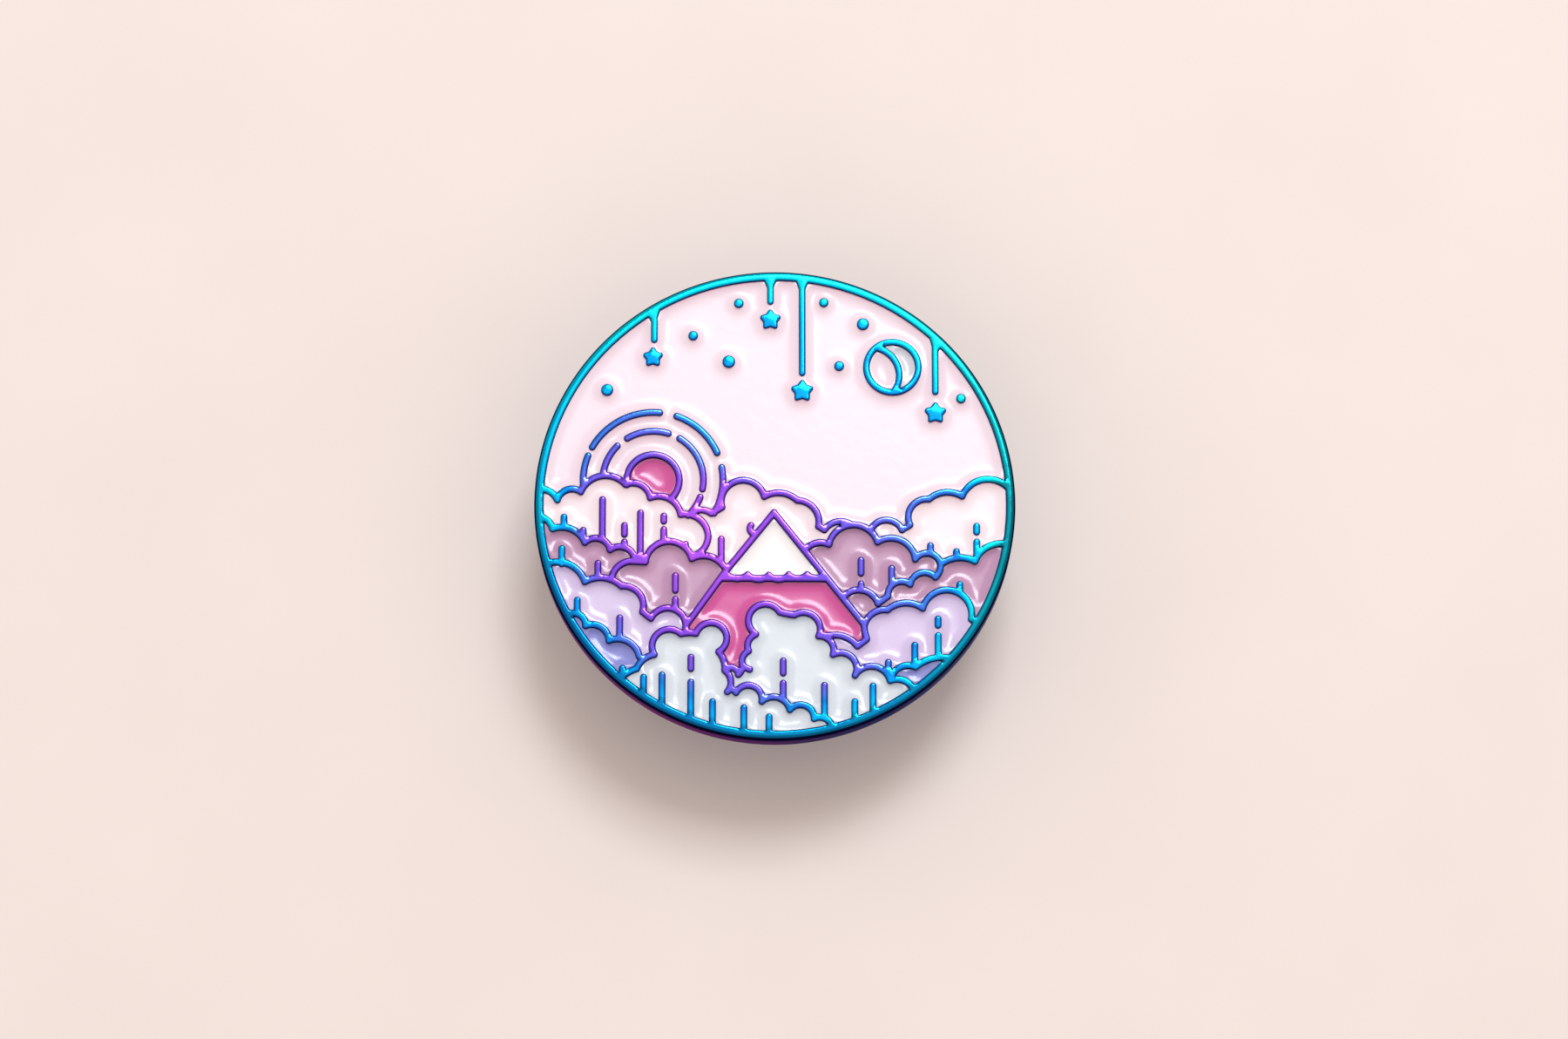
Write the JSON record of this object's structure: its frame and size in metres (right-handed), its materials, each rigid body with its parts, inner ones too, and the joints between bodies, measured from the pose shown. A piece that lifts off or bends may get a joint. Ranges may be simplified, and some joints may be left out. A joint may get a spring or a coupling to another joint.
{
  "type": "enamel pin",
  "caption": "Round soft-enamel pin of a snow-capped mountain above banks of cloud under a sun, moon and stars, on two posts with butterfly clutches.",
  "frame": {"origin": "under the middle of the plate, at the level of the backs of the clutch caps, on which the pin stands", "axes": "+Z out of the picture side, +Y to the top of the picture, +X to its right"},
  "size_m": [0.032, 0.032, 0.0102],
  "materials": {
    "anodised_plate": "die-struck metal with a polished rainbow anodised finish: cyan at the rim, blue and violet towards the middle",
    "enamel_sky_pink": "pale pink soft enamel, baked and glossy, a little lower than the metal lines",
    "enamel_magenta": "magenta soft enamel, baked and glossy, a little lower than the metal lines",
    "enamel_moon_silver": "silver grey soft enamel, baked and glossy, a little lower than the metal lines",
    "enamel_cloud_white": "warm white soft enamel, baked and glossy, a little lower than the metal lines",
    "enamel_snow_white": "white soft enamel, baked and glossy, a little lower than the metal lines",
    "enamel_mauve": "dusty mauve soft enamel, baked and glossy, a little lower than the metal lines",
    "enamel_lilac": "pale lilac soft enamel, baked and glossy, a little lower than the metal lines",
    "enamel_slate": "slate blue soft enamel, baked and glossy, a little lower than the metal lines",
    "enamel_grey": "pale blue grey soft enamel, baked and glossy, a little lower than the metal lines",
    "post_steel": "bright drawn steel, soldered at the pad",
    "clutch_nickel": "nickel-plated stamped sheet with soft edges",
    "wing_nickel": "nickel-plated spring strip"
  },
  "bodies": {
    "pin_plate": {"plate": "anodised_plate", "enamel_sky": "enamel_sky_pink", "enamel_sun": "enamel_magenta", "enamel_moon_disc": "enamel_sky_pink", "enamel_moon_crescent": "enamel_moon_silver", "enamel_cloud_left": "enamel_cloud_white", "enamel_cloud_centre": "enamel_cloud_white", "enamel_cloud_right": "enamel_cloud_white", "enamel_snow_cap": "enamel_snow_white", "enamel_mountain": "enamel_magenta", "enamel_mauve_left": "enamel_mauve", "enamel_mauve_centre": "enamel_mauve", "enamel_mauve_right": "enamel_mauve", "enamel_mauve_far_right": "enamel_mauve", "enamel_lilac_left": "enamel_lilac", "enamel_lilac_right": "enamel_lilac", "enamel_slate_left": "enamel_slate", "enamel_slate_right": "enamel_slate", "enamel_grey_left": "enamel_grey", "enamel_grey_centre": "enamel_grey", "left_post": "post_steel", "right_post": "post_steel"},
    "left_clutch": {"left_clutch_disc": "clutch_nickel", "left_clutch_cap": "clutch_nickel"},
    "left_rear_wing": {"left_clutch_rear_wing": "wing_nickel"},
    "left_front_wing": {"left_clutch_front_wing": "wing_nickel"},
    "right_clutch": {"right_clutch_disc": "clutch_nickel", "right_clutch_cap": "clutch_nickel"},
    "right_rear_wing": {"right_clutch_rear_wing": "wing_nickel"},
    "right_front_wing": {"right_clutch_front_wing": "wing_nickel"}
  },
  "joints": [
    {"name": "left_clutch_slide", "type": "slide", "parent": "pin_plate", "child": "left_clutch", "axis": [0, 0, -1], "range_m": [-0.0024, 0.012]},
    {"name": "left_rear_wing_squeeze", "type": "hinge", "parent": "left_clutch", "child": "left_rear_wing", "pos_m": [-0.007, 0.0026, 0.00164], "axis": [-1, 0, 0], "range_deg": [0, 12], "stiffness_Nm_per_rad": 0.02, "springref_deg": -5.73},
    {"name": "left_front_wing_squeeze", "type": "hinge", "parent": "left_clutch", "child": "left_front_wing", "pos_m": [-0.007, -0.0026, 0.00164], "axis": [1, 0, 0], "range_deg": [0, 12], "stiffness_Nm_per_rad": 0.02, "springref_deg": -5.73},
    {"name": "right_clutch_slide", "type": "slide", "parent": "pin_plate", "child": "right_clutch", "axis": [0, 0, -1], "range_m": [-0.0024, 0.012]},
    {"name": "right_rear_wing_squeeze", "type": "hinge", "parent": "right_clutch", "child": "right_rear_wing", "pos_m": [0.007, 0.0026, 0.00164], "axis": [-1, 0, 0], "range_deg": [0, 12], "stiffness_Nm_per_rad": 0.02, "springref_deg": -5.73},
    {"name": "right_front_wing_squeeze", "type": "hinge", "parent": "right_clutch", "child": "right_front_wing", "pos_m": [0.007, -0.0026, 0.00164], "axis": [1, 0, 0], "range_deg": [0, 12], "stiffness_Nm_per_rad": 0.02, "springref_deg": -5.73}
  ]
}
